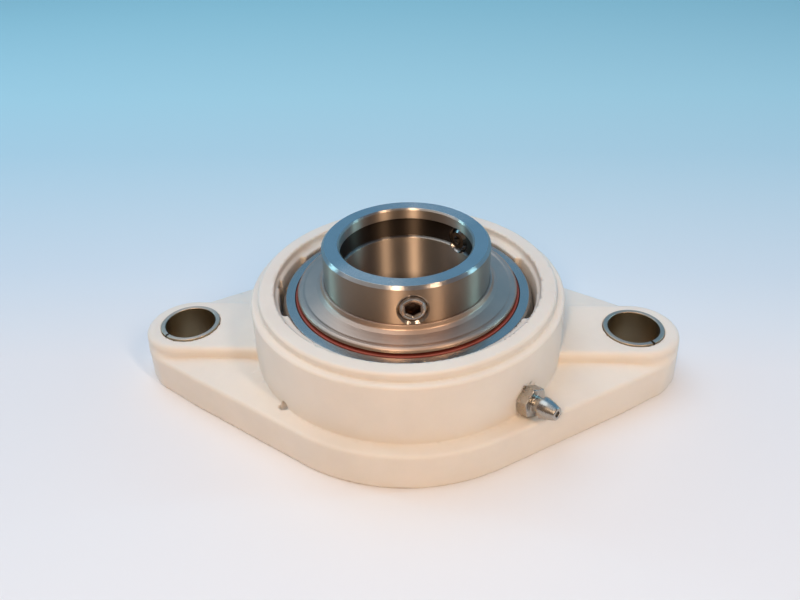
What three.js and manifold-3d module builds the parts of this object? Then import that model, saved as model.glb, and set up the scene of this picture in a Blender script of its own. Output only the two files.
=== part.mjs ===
// Two-bolt flange mount bearing: an oval moulded plastic housing that carries a stainless ball bearing insert
// in a spherical seat, so that the insert can align itself with the shaft.
// Millimetres, +Z up. The origin is the centre of the mounting face. +X runs along the line of the two bolts,
// and +Z along the shaft, away from the mounting face.
import * as THREE from "three";
import { mergeVertices } from "three/addons/utils/BufferGeometryUtils.js";
import Module from "manifold-3d";

const wasm = await Module();
wasm.setup();

// ---- Driving dimensions ----
const GAP = 0.3; // clearance between neighbouring solids

// Housing
const BOLT_SPACING = 130;
const FLANGE_CENTRE_RADIUS = 49;
const FLANGE_END_RADIUS = 16.2;
const FLANGE_END_X = 62.3; // centre of the arc at each end
const FLANGE_THICKNESS = 10.6;
const PAD_HALF_WIDTH = 12.2;
const PAD_END_X = 66.2;
const PAD_HEIGHT = 14.5;
const BOSS_RADIUS = 44;
const SHOULDER_HEIGHT = 28.8; // ledge outside the raised land, and the ledge inside it
const LAND_HEIGHT = 31.2;
const LAND_OUTER_RADIUS = 41.6;
const LAND_INNER_RADIUS = 37.1;
const MOUTH_OFFSET = 10.8; // the spherical seat ends this far above and below its centre
const SLOT_HALF_WIDTH = 15;

// Insert, measured from its ball plane
const CENTRE_HEIGHT = 18;
const SPHERE_RADIUS = 36;
const OUTER_RING_HALF_WIDTH = 10;
const BORE_RADIUS = 18.256; // 1-7/16 inch shaft
const INNER_RING_RADIUS = 23.1;
const SHORT_SIDE = 17.5;
const LONG_SIDE = 25.4;
const BALL_COUNT = 9;
const BALL_RADIUS = 5.556;
const PITCH_RADIUS = 26.75;
const RACEWAY_RADIUS = 5.8;
const OUTER_LAND_RADIUS = 30.2;
const SEAL_SEAT_RADIUS = 31.6;
const SEAL_SEAT_DEPTH = 2.6;
const GREASE_GROOVE_OFFSET = -3.8;
const CAGE_INNER_RADIUS = 25.3;
const CAGE_OUTER_RADIUS = 28.2;
const CAGE_SHEET = 0.8;
const RIVET_RADIUS = 0.6;

// Set screws
const SCREW_ANGLES = [-83, 40];
const SCREW_OFFSET = 18.5;
const SCREW_RADIUS = 3.85;
const SCREW_HEX_FLATS = 4;

// Bolt sleeves
const SLEEVE_OUTER_RADIUS = 8.6;
const SLEEVE_BORE_RADIUS = 7.3;
const SLEEVE_TOP = 14.9;
const SLEEVE_SLIT = 0.8;

// Grease nipple
const NIPPLE_ANGLE = -43.8;
const NIPPLE_TILT = 6.2;
const NIPPLE_REACH = 44.1; // distance of the hexagon's back face from the shaft axis
const NIPPLE_HEIGHT = 14.3;
const NIPPLE_HEX_FLATS = 7.5;
const NIPPLE_HEX_LENGTH = 3.2;
const NIPPLE_HEX_TURN = 34; // degrees, where the thread came tight
const NIPPLE_THREAD_RADIUS = 2.7;
const NIPPLE_THREAD_LENGTH = 5.5;
const NIPPLE_BORE_RADIUS = 1.5;
const CHECK_BALL_RADIUS = 1.2;
const CHECK_BALL_SEAT = 7.8;

// Anti-rotation pin between the outer ring and the housing
const PIN_RADIUS = 1.5;
const PIN_START = 33.6;
const PIN_END = 37.8;

// Facets round a full turn
const RING_SEGMENTS = 40;
const SMALL_SEGMENTS = 16;
const POCKET_SEGMENTS = 12;
const POCKET_ROWS = 8;

const radians = THREE.MathUtils.degToRad;

// ---- Solids ----

// A closed geometry as a manifold solid.
function solidOf(geometry) {
  const plain = new THREE.BufferGeometry();
  plain.setAttribute("position", geometry.getAttribute("position"));
  plain.setIndex(geometry.index);
  const merged = mergeVertices(plain, 1e-4);
  return new wasm.Manifold(
    new wasm.Mesh({
      numProp: 3,
      vertProperties: merged.attributes.position.array,
      triVerts: new Uint32Array(merged.index.array),
    }),
  );
}

function geometryOf(solid) {
  const mesh = solid.getMesh();
  const geometry = new THREE.BufferGeometry();
  geometry.setAttribute("position", new THREE.BufferAttribute(mesh.vertProperties, 3));
  geometry.setIndex(new THREE.BufferAttribute(mesh.triVerts, 1));
  return geometry;
}

// Points of an arc in the profile plane, from one angle to the other, in degrees.
function arc(radius, height, size, from, to, steps) {
  return Array.from({ length: steps + 1 }, (_, i) => {
    const angle = radians(from + ((to - from) * i) / steps);
    return [radius + size * Math.cos(angle), height + size * Math.sin(angle)];
  });
}

// Revolves a counter-clockwise profile of [radius, height] points about Z.
function revolve(profile, segments = RING_SEGMENTS) {
  const onAxis = profile[0][0] === 0;
  const loop = onAxis ? profile : [...profile, profile[0]];
  const points = loop.map(([radius, height]) => new THREE.Vector2(radius, height));
  return new THREE.LatheGeometry(points, segments).rotateX(Math.PI / 2);
}

// The same profile turned over, for the matching piece on the other side of the ball plane.
function mirrored(profile) {
  return profile.map(([radius, height]) => [radius, -height]).reverse();
}

function cylinder(radius, bottom, top, segments = SMALL_SEGMENTS) {
  const profile = [
    [0, bottom],
    [radius, bottom],
    [radius, top],
    [0, top],
  ];
  return revolve(profile, segments);
}

function prism(shape, height, curveSegments = 12) {
  return new THREE.ExtrudeGeometry(shape, { depth: height, bevelEnabled: false, curveSegments });
}

function hexagon(acrossFlats, bottom, top) {
  const corner = acrossFlats / Math.sqrt(3);
  const geometry = new THREE.CylinderGeometry(corner, corner, top - bottom, 6);
  return geometry.rotateX(Math.PI / 2).translate(0, 0, (bottom + top) / 2);
}

// A box given by its two opposite corners.
function box([x0, y0, z0], [x1, y1, z1]) {
  const geometry = new THREE.BoxGeometry(x1 - x0, y1 - y0, z1 - z0);
  return geometry.translate((x0 + x1) / 2, (y0 + y1) / 2, (z0 + z1) / 2);
}

// Lays a piece made along Z out along a radius at the given angle and height.
function radial(geometry, angle, height) {
  return geometry
    .rotateY(Math.PI / 2)
    .rotateZ(radians(angle))
    .translate(0, 0, height);
}

// ---- Materials ----

const metal = (color, roughness) => new THREE.MeshStandardMaterial({ color, roughness, metalness: 1 });
const plastic = (color, roughness) => new THREE.MeshStandardMaterial({ color, roughness, metalness: 0 });

const housingPlastic = plastic(0xe4d8cb, 0.6);
const ringSteel = metal(0xb9bcbf, 0.25);
const sheetSteel = metal(0xb2b2ae, 0.35);
const ballSteel = metal(0xd0d2d4, 0.08);
const cageSteel = metal(0xa9abad, 0.4);
const screwSteel = metal(0x8f8d88, 0.35);
const sealRubber = plastic(0xc4402a, 0.55);
const springSteel = metal(0x9a9ca0, 0.3);

const part = new THREE.Group();
const insert = new THREE.Group();
insert.position.z = CENTRE_HEIGHT;
part.add(insert);

function add(group, name, geometry, material) {
  const mesh = new THREE.Mesh(geometry, material);
  mesh.name = name;
  group.add(mesh);
  return mesh;
}

// ---- Grease port: everything along it is made along Z and then leaned onto its axis ----

const portPlace = new THREE.Matrix4()
  .makeRotationZ(radians(NIPPLE_ANGLE))
  .multiply(new THREE.Matrix4().makeTranslation(NIPPLE_REACH, 0, NIPPLE_HEIGHT))
  .multiply(new THREE.Matrix4().makeRotationY(Math.PI / 2 - radians(NIPPLE_TILT)));

function portCut() {
  const spotFace = solidOf(cylinder(NIPPLE_HEX_FLATS / Math.sqrt(3) + 0.15, -GAP, 6).applyMatrix4(portPlace));
  const thread = solidOf(
    cylinder(NIPPLE_THREAD_RADIUS + GAP, -NIPPLE_THREAD_LENGTH - 0.5, 1).applyMatrix4(portPlace),
  );
  const passage = solidOf(cylinder(NIPPLE_BORE_RADIUS, -12, 0, 12).applyMatrix4(portPlace));
  return spotFace.add(thread).add(passage);
}

// ---- Housing ----

// Two end circles and a centre circle joined by their common tangents.
function flangeOutline() {
  const tangent = Math.acos((FLANGE_CENTRE_RADIUS - FLANGE_END_RADIUS) / FLANGE_END_X);
  const shape = new THREE.Shape();
  shape.absarc(FLANGE_END_X, 0, FLANGE_END_RADIUS, -tangent, tangent, false);
  shape.absarc(0, 0, FLANGE_CENTRE_RADIUS, tangent, Math.PI - tangent, false);
  shape.absarc(-FLANGE_END_X, 0, FLANGE_END_RADIUS, Math.PI - tangent, Math.PI + tangent, false);
  shape.absarc(0, 0, FLANGE_CENTRE_RADIUS, Math.PI + tangent, 2 * Math.PI - tangent, false);
  return shape;
}

function padOutline() {
  const shape = new THREE.Shape();
  shape.absarc(PAD_END_X, 0, PAD_HALF_WIDTH, -Math.PI / 2, Math.PI / 2, false);
  shape.absarc(-PAD_END_X, 0, PAD_HALF_WIDTH, Math.PI / 2, (3 * Math.PI) / 2, false);
  return shape;
}

function bossSolid() {
  const round = 1;
  return solidOf(
    revolve([
      [0, 0],
      [BOSS_RADIUS, 0],
      ...arc(BOSS_RADIUS - round, SHOULDER_HEIGHT - round, round, 0, 90, 2),
      [LAND_OUTER_RADIUS, SHOULDER_HEIGHT],
      [LAND_OUTER_RADIUS, LAND_HEIGHT - 0.5],
      [LAND_OUTER_RADIUS - 0.5, LAND_HEIGHT],
      [0, LAND_HEIGHT],
    ]),
  );
}

function boreSolid() {
  const seat = SPHERE_RADIUS + GAP / 2;
  const limit = THREE.MathUtils.radToDeg(Math.asin(MOUTH_OFFSET / seat));
  const mouth = seat * Math.cos(radians(limit));
  return solidOf(
    revolve([
      [0, -1],
      [mouth + 2, -1],
      [mouth, 1],
      ...arc(0, CENTRE_HEIGHT, seat, -limit, limit, 8),
      [LAND_INNER_RADIUS, SHOULDER_HEIGHT],
      [LAND_INNER_RADIUS, LAND_HEIGHT + 1],
      [0, LAND_HEIGHT + 1],
    ]),
  );
}

// The two slots through which the insert is slipped in sideways before it is turned into its seat.
function loadingSlots() {
  const reach = SPHERE_RADIUS + GAP / 2;
  const round = solidOf(cylinder(reach, CENTRE_HEIGHT, LAND_HEIGHT, RING_SEGMENTS));
  const band = solidOf(box([-reach - 1, -SLOT_HALF_WIDTH, 0], [reach + 1, SLOT_HALF_WIDTH, LAND_HEIGHT + 1]));
  return round.intersect(band);
}

// The groove that the pin sweeps as the insert is turned into its seat, with room below it for alignment.
function pinGroove() {
  const half = PIN_RADIUS + 0.4;
  const disc = cylinder(PIN_END + GAP, -half, half, RING_SEGMENTS).rotateX(Math.PI / 2);
  const swept = solidOf(disc.translate(0, 0, CENTRE_HEIGHT));
  const floor = CENTRE_HEIGHT - PIN_RADIUS - 1.7;
  const room = solidOf(box([-PIN_END - 1, -half - 1, floor], [-PIN_START, half + 1, LAND_HEIGHT]));
  return swept.intersect(room);
}

function housing() {
  const cuts = [boreSolid(), loadingSlots(), pinGroove(), portCut()];
  for (const side of [-1, 1]) {
    const hole = cylinder(SLEEVE_OUTER_RADIUS + GAP, -1, PAD_HEIGHT + 1, 32);
    cuts.push(solidOf(hole.translate((side * BOLT_SPACING) / 2, 0, 0)));
  }
  const body = solidOf(prism(flangeOutline(), FLANGE_THICKNESS))
    .add(solidOf(prism(padOutline(), PAD_HEIGHT)))
    .add(bossSolid());
  return geometryOf(cuts.reduce((left, cut) => left.subtract(cut), body));
}

// Rolled from sheet, so each sleeve has a slit along its length.
function boltSleeve(slitAngle) {
  const tube = solidOf(
    revolve(
      [
        [SLEEVE_BORE_RADIUS, 0],
        [SLEEVE_OUTER_RADIUS, 0],
        [SLEEVE_OUTER_RADIUS, SLEEVE_TOP],
        [SLEEVE_BORE_RADIUS, SLEEVE_TOP],
      ],
      32,
    ),
  );
  const slit = box([0, -SLEEVE_SLIT / 2, -1], [SLEEVE_OUTER_RADIUS + 1, SLEEVE_SLIT / 2, SLEEVE_TOP + 1]);
  return geometryOf(tube.subtract(solidOf(slit.rotateZ(radians(slitAngle)))));
}

add(part, "housing", housing(), housingPlastic);
add(part, "left_bolt_sleeve", boltSleeve(-130), sheetSteel).position.x = -BOLT_SPACING / 2;
add(part, "right_bolt_sleeve", boltSleeve(-61), sheetSteel).position.x = BOLT_SPACING / 2;

// ---- Rings ----

function outerRing() {
  const sphere = SPHERE_RADIUS - GAP / 2;
  const onSphere = (height) => THREE.MathUtils.radToDeg(Math.asin(height / sphere));
  const face = OUTER_RING_HALF_WIDTH;
  const seatFloor = face - SEAL_SEAT_DEPTH;
  const grooveEdge = (side) => onSphere(GREASE_GROOVE_OFFSET + side * 0.8);
  const lip = THREE.MathUtils.radToDeg(Math.acos((OUTER_LAND_RADIUS - PITCH_RADIUS) / RACEWAY_RADIUS));
  const ring = solidOf(
    revolve([
      [sphere * Math.cos(radians(onSphere(face - 0.5))) - 0.6, -face],
      ...arc(0, 0, sphere, onSphere(0.5 - face), grooveEdge(-1), 2),
      [sphere - 0.9, GREASE_GROOVE_OFFSET - 0.6],
      [sphere - 0.9, GREASE_GROOVE_OFFSET + 0.6],
      ...arc(0, 0, sphere, grooveEdge(1), onSphere(face - 0.5), 5),
      [sphere * Math.cos(radians(onSphere(face - 0.5))) - 0.6, face],
      [SEAL_SEAT_RADIUS, face],
      [SEAL_SEAT_RADIUS, seatFloor],
      [OUTER_LAND_RADIUS, seatFloor],
      ...arc(PITCH_RADIUS, 0, RACEWAY_RADIUS, lip, -lip, 6),
      [OUTER_LAND_RADIUS, -seatFloor],
      [SEAL_SEAT_RADIUS, -seatFloor],
      [SEAL_SEAT_RADIUS, -face],
    ]),
  );
  const pinHole = cylinder(PIN_RADIUS + GAP, PIN_START - GAP, SPHERE_RADIUS + 1);
  const greaseHole = cylinder(1, OUTER_LAND_RADIUS - 2, SPHERE_RADIUS, 8);
  return geometryOf(
    ring
      .subtract(solidOf(radial(pinHole, 180, 0)))
      .subtract(solidOf(radial(greaseHole, NIPPLE_ANGLE, GREASE_GROOVE_OFFSET))),
  );
}

function innerRing() {
  const chamfer = 0.8;
  const boreChamfer = 0.45;
  const relief = 0.85; // depth of the groove round the tapped holes, inside the bore
  const reliefTop = LONG_SIDE - 3.4;
  const reliefBottom = LONG_SIDE - 9.5;
  const lip = THREE.MathUtils.radToDeg(Math.acos((PITCH_RADIUS - INNER_RING_RADIUS) / RACEWAY_RADIUS));
  const ring = solidOf(
    revolve([
      [BORE_RADIUS + boreChamfer, -SHORT_SIDE],
      [INNER_RING_RADIUS - chamfer, -SHORT_SIDE],
      [INNER_RING_RADIUS, chamfer - SHORT_SIDE],
      ...arc(PITCH_RADIUS, 0, RACEWAY_RADIUS, 180 + lip, 180 - lip, 6),
      [INNER_RING_RADIUS, LONG_SIDE - chamfer],
      [INNER_RING_RADIUS - chamfer, LONG_SIDE],
      [BORE_RADIUS + boreChamfer, LONG_SIDE],
      [BORE_RADIUS, LONG_SIDE - boreChamfer],
      [BORE_RADIUS, reliefTop],
      [BORE_RADIUS + relief, reliefTop],
      [BORE_RADIUS + relief, reliefBottom],
      [BORE_RADIUS, reliefBottom],
      [BORE_RADIUS, boreChamfer - SHORT_SIDE],
    ]),
  );
  const tapped = SCREW_ANGLES.map((angle) => {
    const hole = cylinder(SCREW_RADIUS + GAP, BORE_RADIUS - 4, INNER_RING_RADIUS + 2);
    return solidOf(radial(hole, angle, SCREW_OFFSET));
  });
  return geometryOf(tapped.reduce((left, hole) => left.subtract(hole), ring));
}

add(insert, "outer_ring", outerRing(), ringSteel);
add(insert, "inner_ring", innerRing(), ringSteel);

// ---- Balls and cage ----

const ballAngles = Array.from({ length: BALL_COUNT }, (_, i) => (360 * i) / BALL_COUNT + 10);

function onPitch(angle) {
  const at = radians(angle);
  return new THREE.Vector3(PITCH_RADIUS * Math.cos(at), PITCH_RADIUS * Math.sin(at), 0);
}

ballAngles.forEach((angle, i) => {
  const ball = add(insert, `ball_${i + 1}`, new THREE.IcosahedronGeometry(BALL_RADIUS, 2), ballSteel);
  ball.position.copy(onPitch(angle));
});

const betweenBalls = 180 / BALL_COUNT;

// One pressed half: a flat ribbon that swells round each ball, with a rivet hole between the balls.
function cageHalf() {
  // The middle of a facet lies this much nearer the centre than its corners, and must still clear the ball.
  const facetShare = Math.cos(Math.PI / POCKET_SEGMENTS) * Math.cos(Math.PI / (2 * POCKET_ROWS));
  const pocket = (BALL_RADIUS + GAP / 2) / facetShare;
  const crown = pocket + CAGE_SHEET;
  const band = (bottom, top) =>
    solidOf(
      revolve([
        [CAGE_INNER_RADIUS, bottom],
        [CAGE_OUTER_RADIUS, bottom],
        [CAGE_OUTER_RADIUS, top],
        [CAGE_INNER_RADIUS, top],
      ]),
    );
  const split = GAP / 2;
  const sphereAt = (radius, angle) => {
    const { x, y } = onPitch(angle);
    const sphere = new THREE.SphereGeometry(radius, POCKET_SEGMENTS, POCKET_ROWS).rotateX(Math.PI / 2);
    return solidOf(sphere.translate(x, y, 0));
  };
  const sum = (solids) => solids.reduce((all, solid) => all.add(solid));
  const crowns = sum(ballAngles.map((angle) => sphereAt(crown, angle))).intersect(band(split, crown + 1));
  const pockets = sum(ballAngles.map((angle) => sphereAt(pocket, angle)));
  const holes = sum(
    ballAngles.map((angle) => {
      const { x, y } = onPitch(angle + betweenBalls);
      return solidOf(cylinder(RIVET_RADIUS + GAP, -1, 2, 8).translate(x, y, 0));
    }),
  );
  return crowns.add(band(split, split + CAGE_SHEET)).subtract(pockets).subtract(holes);
}

function rivet() {
  const head = 0.5;
  const under = GAP / 2 + CAGE_SHEET + GAP;
  const headRadius = RIVET_RADIUS + 0.6;
  return revolve(
    [
      [0, -under - head],
      [headRadius, -under - head],
      [headRadius, -under],
      [RIVET_RADIUS, -under],
      [RIVET_RADIUS, under],
      [headRadius, under],
      [headRadius, under + head],
      [0, under + head],
    ],
    8,
  );
}

add(insert, "cage_front", geometryOf(cageHalf()), cageSteel);
add(insert, "cage_rear", geometryOf(cageHalf().mirror([0, 0, 1])), cageSteel);
ballAngles.forEach((angle, i) => {
  add(insert, `cage_rivet_${i + 1}`, rivet(), cageSteel).position.copy(onPitch(angle + betweenBalls));
});

// ---- Seals and flingers: one set in front of the balls and its mirror image behind them ----

const sealFloor = OUTER_RING_HALF_WIDTH - SEAL_SEAT_DEPTH + GAP;

const sealCoreProfile = [
  [24.6, sealFloor],
  [SEAL_SEAT_RADIUS - GAP, sealFloor],
  [SEAL_SEAT_RADIUS - GAP, sealFloor + 0.6],
  [24.6, sealFloor + 0.6],
];

const sealLipProfile = [
  [INNER_RING_RADIUS + GAP, 8.6],
  [SEAL_SEAT_RADIUS - GAP, 8.6],
  [SEAL_SEAT_RADIUS - GAP, 10.2],
  [30.3, 10.2],
  [30.2, 9.2],
  [INNER_RING_RADIUS + GAP, 9.2],
];

const flingerProfile = [
  [INNER_RING_RADIUS + GAP, 12],
  [24.4, 11.7],
  [29.6, 11.2],
  [29.8, 10.7],
  [30.5, 10.7],
  [30.4, 11.5],
  [29.9, 11.9],
  [28.6, 11.9],
  [25.2, 12.5],
  [24.2, 13.1],
  [23.9, 14.3],
  [INNER_RING_RADIUS + GAP, 14.3],
];

const wearParts = [
  ["seal_core", sealCoreProfile, sheetSteel],
  ["seal_lip", sealLipProfile, sealRubber],
  ["flinger", flingerProfile, sheetSteel],
];
for (const [name, profile, material] of wearParts) {
  add(insert, `front_${name}`, revolve(profile), material);
  add(insert, `rear_${name}`, revolve(mirrored(profile)), material);
}

// ---- Set screws ----

function setScrew() {
  const tip = BORE_RADIUS + 0.2;
  const top = INNER_RING_RADIUS - 0.2;
  const shank = solidOf(
    revolve(
      [
        [0, tip + 0.6],
        [1.4, tip],
        [2.6, tip],
        [SCREW_RADIUS, tip + 1.2],
        [SCREW_RADIUS, top - 0.4],
        [SCREW_RADIUS - 0.4, top],
        [0, top],
      ],
      SMALL_SEGMENTS,
    ),
  );
  return geometryOf(shank.subtract(solidOf(hexagon(SCREW_HEX_FLATS, top - 2.4, top + 1))));
}

["front_set_screw", "rear_set_screw"].forEach((name, i) => {
  add(insert, name, radial(setScrew(), SCREW_ANGLES[i], SCREW_OFFSET), screwSteel);
});

// ---- Anti-rotation pin ----

add(insert, "anti_rotation_pin", radial(cylinder(PIN_RADIUS, PIN_START, PIN_END), 180, 0), springSteel);

// ---- Grease nipple ----

function nippleBody() {
  const outside = solidOf(
    revolve(
      [
        [0, -NIPPLE_THREAD_LENGTH],
        [NIPPLE_THREAD_RADIUS, -NIPPLE_THREAD_LENGTH],
        [NIPPLE_THREAD_RADIUS, NIPPLE_HEX_LENGTH / 2],
        [2.1, NIPPLE_HEX_LENGTH],
        [2, 5],
        [2.8, 5.9],
        [2.8, 6.5],
        [1.8, 9.6],
        [1.4, 10],
        [0, 10],
      ],
      SMALL_SEGMENTS,
    ),
  );
  const bore = solidOf(
    revolve(
      [
        [0, -NIPPLE_THREAD_LENGTH - 1],
        [NIPPLE_BORE_RADIUS, -NIPPLE_THREAD_LENGTH - 1],
        [NIPPLE_BORE_RADIUS, CHECK_BALL_SEAT + 0.5],
        [0.85, CHECK_BALL_SEAT + 1],
        [0.85, 11],
        [0, 11],
      ],
      SMALL_SEGMENTS,
    ),
  );
  const hex = solidOf(hexagon(NIPPLE_HEX_FLATS, 0, NIPPLE_HEX_LENGTH).rotateZ(radians(NIPPLE_HEX_TURN)));
  return geometryOf(outside.add(hex).subtract(bore));
}

class Helix extends THREE.Curve {
  constructor(radius, bottom, top, turns) {
    super();
    Object.assign(this, { radius, bottom, top, turns });
  }
  getPoint(t, target = new THREE.Vector3()) {
    const angle = 2 * Math.PI * this.turns * t;
    const height = this.bottom + (this.top - this.bottom) * t;
    return target.set(this.radius * Math.cos(angle), this.radius * Math.sin(angle), height);
  }
}

function nippleSpring() {
  const wire = new THREE.Shape().absarc(0, 0, 0.17, 0, 2 * Math.PI, false);
  const path = new Helix(0.95, 0.8, CHECK_BALL_SEAT - CHECK_BALL_RADIUS - 0.4, 5);
  return new THREE.ExtrudeGeometry(wire, { steps: 40, extrudePath: path, curveSegments: 3 });
}

const nipple = new THREE.Group();
nipple.applyMatrix4(portPlace);
part.add(nipple);
add(nipple, "grease_nipple", nippleBody(), sheetSteel);
add(nipple, "nipple_spring", nippleSpring(), springSteel);
add(nipple, "nipple_check_ball", new THREE.IcosahedronGeometry(CHECK_BALL_RADIUS, 2), ballSteel).position.z =
  CHECK_BALL_SEAT;

export default part;
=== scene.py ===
"""Looks for the flange mount bearing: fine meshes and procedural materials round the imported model.

Lengths in this file are millimetres until a mesh is made, and metres in Blender. The origin is the centre of
the mounting face, +X runs along the bolt line and +Z along the shaft.
"""

import math

import bpy
import numpy as np
import openvdb
from mathutils import Matrix, Vector


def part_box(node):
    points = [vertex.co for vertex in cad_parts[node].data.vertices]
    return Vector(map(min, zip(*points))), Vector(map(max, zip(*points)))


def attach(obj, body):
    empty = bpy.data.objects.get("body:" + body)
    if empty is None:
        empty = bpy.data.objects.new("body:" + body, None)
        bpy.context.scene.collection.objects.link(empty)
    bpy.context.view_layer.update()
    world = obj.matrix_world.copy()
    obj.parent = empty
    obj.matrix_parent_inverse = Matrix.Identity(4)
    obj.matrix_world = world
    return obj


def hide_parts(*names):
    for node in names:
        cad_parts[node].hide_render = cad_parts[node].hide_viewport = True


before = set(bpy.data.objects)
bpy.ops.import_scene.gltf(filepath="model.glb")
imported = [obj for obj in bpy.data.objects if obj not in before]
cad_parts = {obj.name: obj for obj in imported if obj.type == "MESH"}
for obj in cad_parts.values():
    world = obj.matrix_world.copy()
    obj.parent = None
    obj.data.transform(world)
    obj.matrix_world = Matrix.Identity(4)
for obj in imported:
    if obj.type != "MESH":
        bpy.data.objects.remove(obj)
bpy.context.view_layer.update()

MM = 0.001


# ---- Sizes, from the frame where a node's box gives them ----


def box_mm(node):
    low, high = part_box(node)
    return low / MM, high / MM


HOUSING_LOW, HOUSING_HIGH = box_mm("housing")
RING_LOW, RING_HIGH = box_mm("outer_ring")
INNER_LOW, INNER_HIGH = box_mm("inner_ring")
SLEEVE_LOW, SLEEVE_HIGH = box_mm("right_bolt_sleeve")

# Housing
FLANGE_CENTRE_RADIUS = HOUSING_HIGH.y
FLANGE_END_RADIUS = 16.2
FLANGE_END_X = HOUSING_HIGH.x - FLANGE_END_RADIUS
FLANGE_THICKNESS = 10.6
LEDGE_RISE = 0.8  # how far the top of each lug climbs from its edge to the pad
LEDGE_RUN = 6.0  # the width over which it climbs
LEDGE_START_X = 36.0  # the climb comes in between these two
LEDGE_FULL_X = 46.0
END_WALL_BLEND = 5.0  # the end walls turn upright this far on each side of the bolt
PAD_HALF_WIDTH = 12.2
PAD_HEIGHT = 14.5
DRAFT = 0.045  # the moulded walls lean in by this share of their height
PAD_END_X = HOUSING_HIGH.x - DRAFT * PAD_HEIGHT - PAD_HALF_WIDTH  # flush with the end walls at its top
BOSS_RADIUS = 44.0
SHOULDER_HEIGHT = 28.8
LAND_HEIGHT = HOUSING_HIGH.z
LAND_OUTER_RADIUS = 41.6
LAND_INNER_RADIUS = 37.1
SEAT_RADIUS = 36.1
MOUTH_RADIUS = 34.4
SLOT_RADIUS = 36.15
SLOT_HALF_WIDTH = 15.0
GATE_SCAR = Vector((-31.5, -31.0, 10.8))
GATE_SCAR_RADIUS = 1.3
GATE_SCAR_SQUASH = 1.6  # flattens the scar in height

# Insert, in heights above the mounting face; CENTRE is the ball plane
CENTRE = (RING_LOW.z + RING_HIGH.z) / 2
SPHERE_RADIUS = 35.95
RING_HALF = (RING_HIGH.z - RING_LOW.z) / 2
BORE_RADIUS = 18.256
INNER_RADIUS = INNER_HIGH.x
SHORT_SIDE = CENTRE - INNER_LOW.z
LONG_SIDE = INNER_HIGH.z - CENTRE
BALL_COUNT = 9
BALL_RADIUS = 5.556
PITCH_RADIUS = 26.75
RACEWAY_RADIUS = 5.8
OUTER_LAND_RADIUS = 30.2
SEAL_SEAT_RADIUS = 31.5
SEAL_SEAT_DEPTH = 2.6
GREASE_GROOVE = -3.8
SCREW_ANGLES = {"front": -83.0, "rear": 40.0}
SCREW_OFFSET = 18.5
SCREW_RADIUS = 4.0
SCREW_FLATS = 4.0

# Bolt sleeves
BOLT_X = (SLEEVE_LOW.x + SLEEVE_HIGH.x) / 2
SLEEVE_RADIUS = (SLEEVE_HIGH.y - SLEEVE_LOW.y) / 2
SLEEVE_BORE = 7.3
SLEEVE_TOP = SLEEVE_HIGH.z
SLIT_WIDTH = 0.7
SLIT_ANGLES = {"left": -130.0, "right": -61.0}

# Grease nipple
NIPPLE_ANGLE = -43.8
NIPPLE_TILT = 6.2
NIPPLE_REACH = 44.1
NIPPLE_HEIGHT = 14.3
NIPPLE_FLATS = 7.5
NIPPLE_HEX = 3.2
NIPPLE_HEX_TURN = 34.0
NIPPLE_TIP = 10.0
CHECK_BALL_SEAT = 7.8
CHECK_BALL_RADIUS = 1.2

# Anti-rotation pin
PIN_RADIUS = 1.5
PIN_START = 33.6
PIN_END = 37.8


# ---- Mesh helpers ----


def make_piece(name, points, faces, normals=None, place=None):
    """An object from points in millimetres, smooth shaded, with exact normals where they are given."""
    points = np.asarray(points, float)
    if place is not None:
        turn = np.array(place.to_3x3())
        points = points @ turn.T + np.array(place.translation)
        if normals is not None:
            normals = np.asarray(normals, float) @ turn.T
    mesh = bpy.data.meshes.new(name)
    mesh.from_pydata((points * MM).tolist(), [], faces)
    mesh.polygons.foreach_set("use_smooth", [True] * len(mesh.polygons))
    mesh.update()
    if normals is not None:
        mesh.normals_split_custom_set_from_vertices(np.asarray(normals, float).tolist())
    piece = bpy.data.objects.new(name, mesh)
    bpy.context.scene.collection.objects.link(piece)
    return piece


def finish_piece(piece, body, node, material):
    piece.data.materials.clear()
    piece.data.materials.append(material)
    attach(piece, body)
    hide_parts(*([node] if isinstance(node, str) else node))
    return piece


def along_radius(angle, height):
    """Takes a piece made along Z from the origin and lays it along a radius."""
    return (
        Matrix.Translation((0, 0, height))
        @ Matrix.Rotation(math.radians(angle), 4, "Z")
        @ Matrix.Rotation(math.pi / 2, 4, "Y")
    )


def lift(height):
    return Matrix.Translation((0, 0, height))


# ---- Turned pieces ----


def arc(radius, height, size, start, end, steps):
    """Points of an arc in the profile plane, from one angle to the other, in degrees."""
    angles = np.radians(np.linspace(start, end, steps + 1))
    return [(radius + size * math.cos(a), height + size * math.sin(a)) for a in angles]


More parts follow.
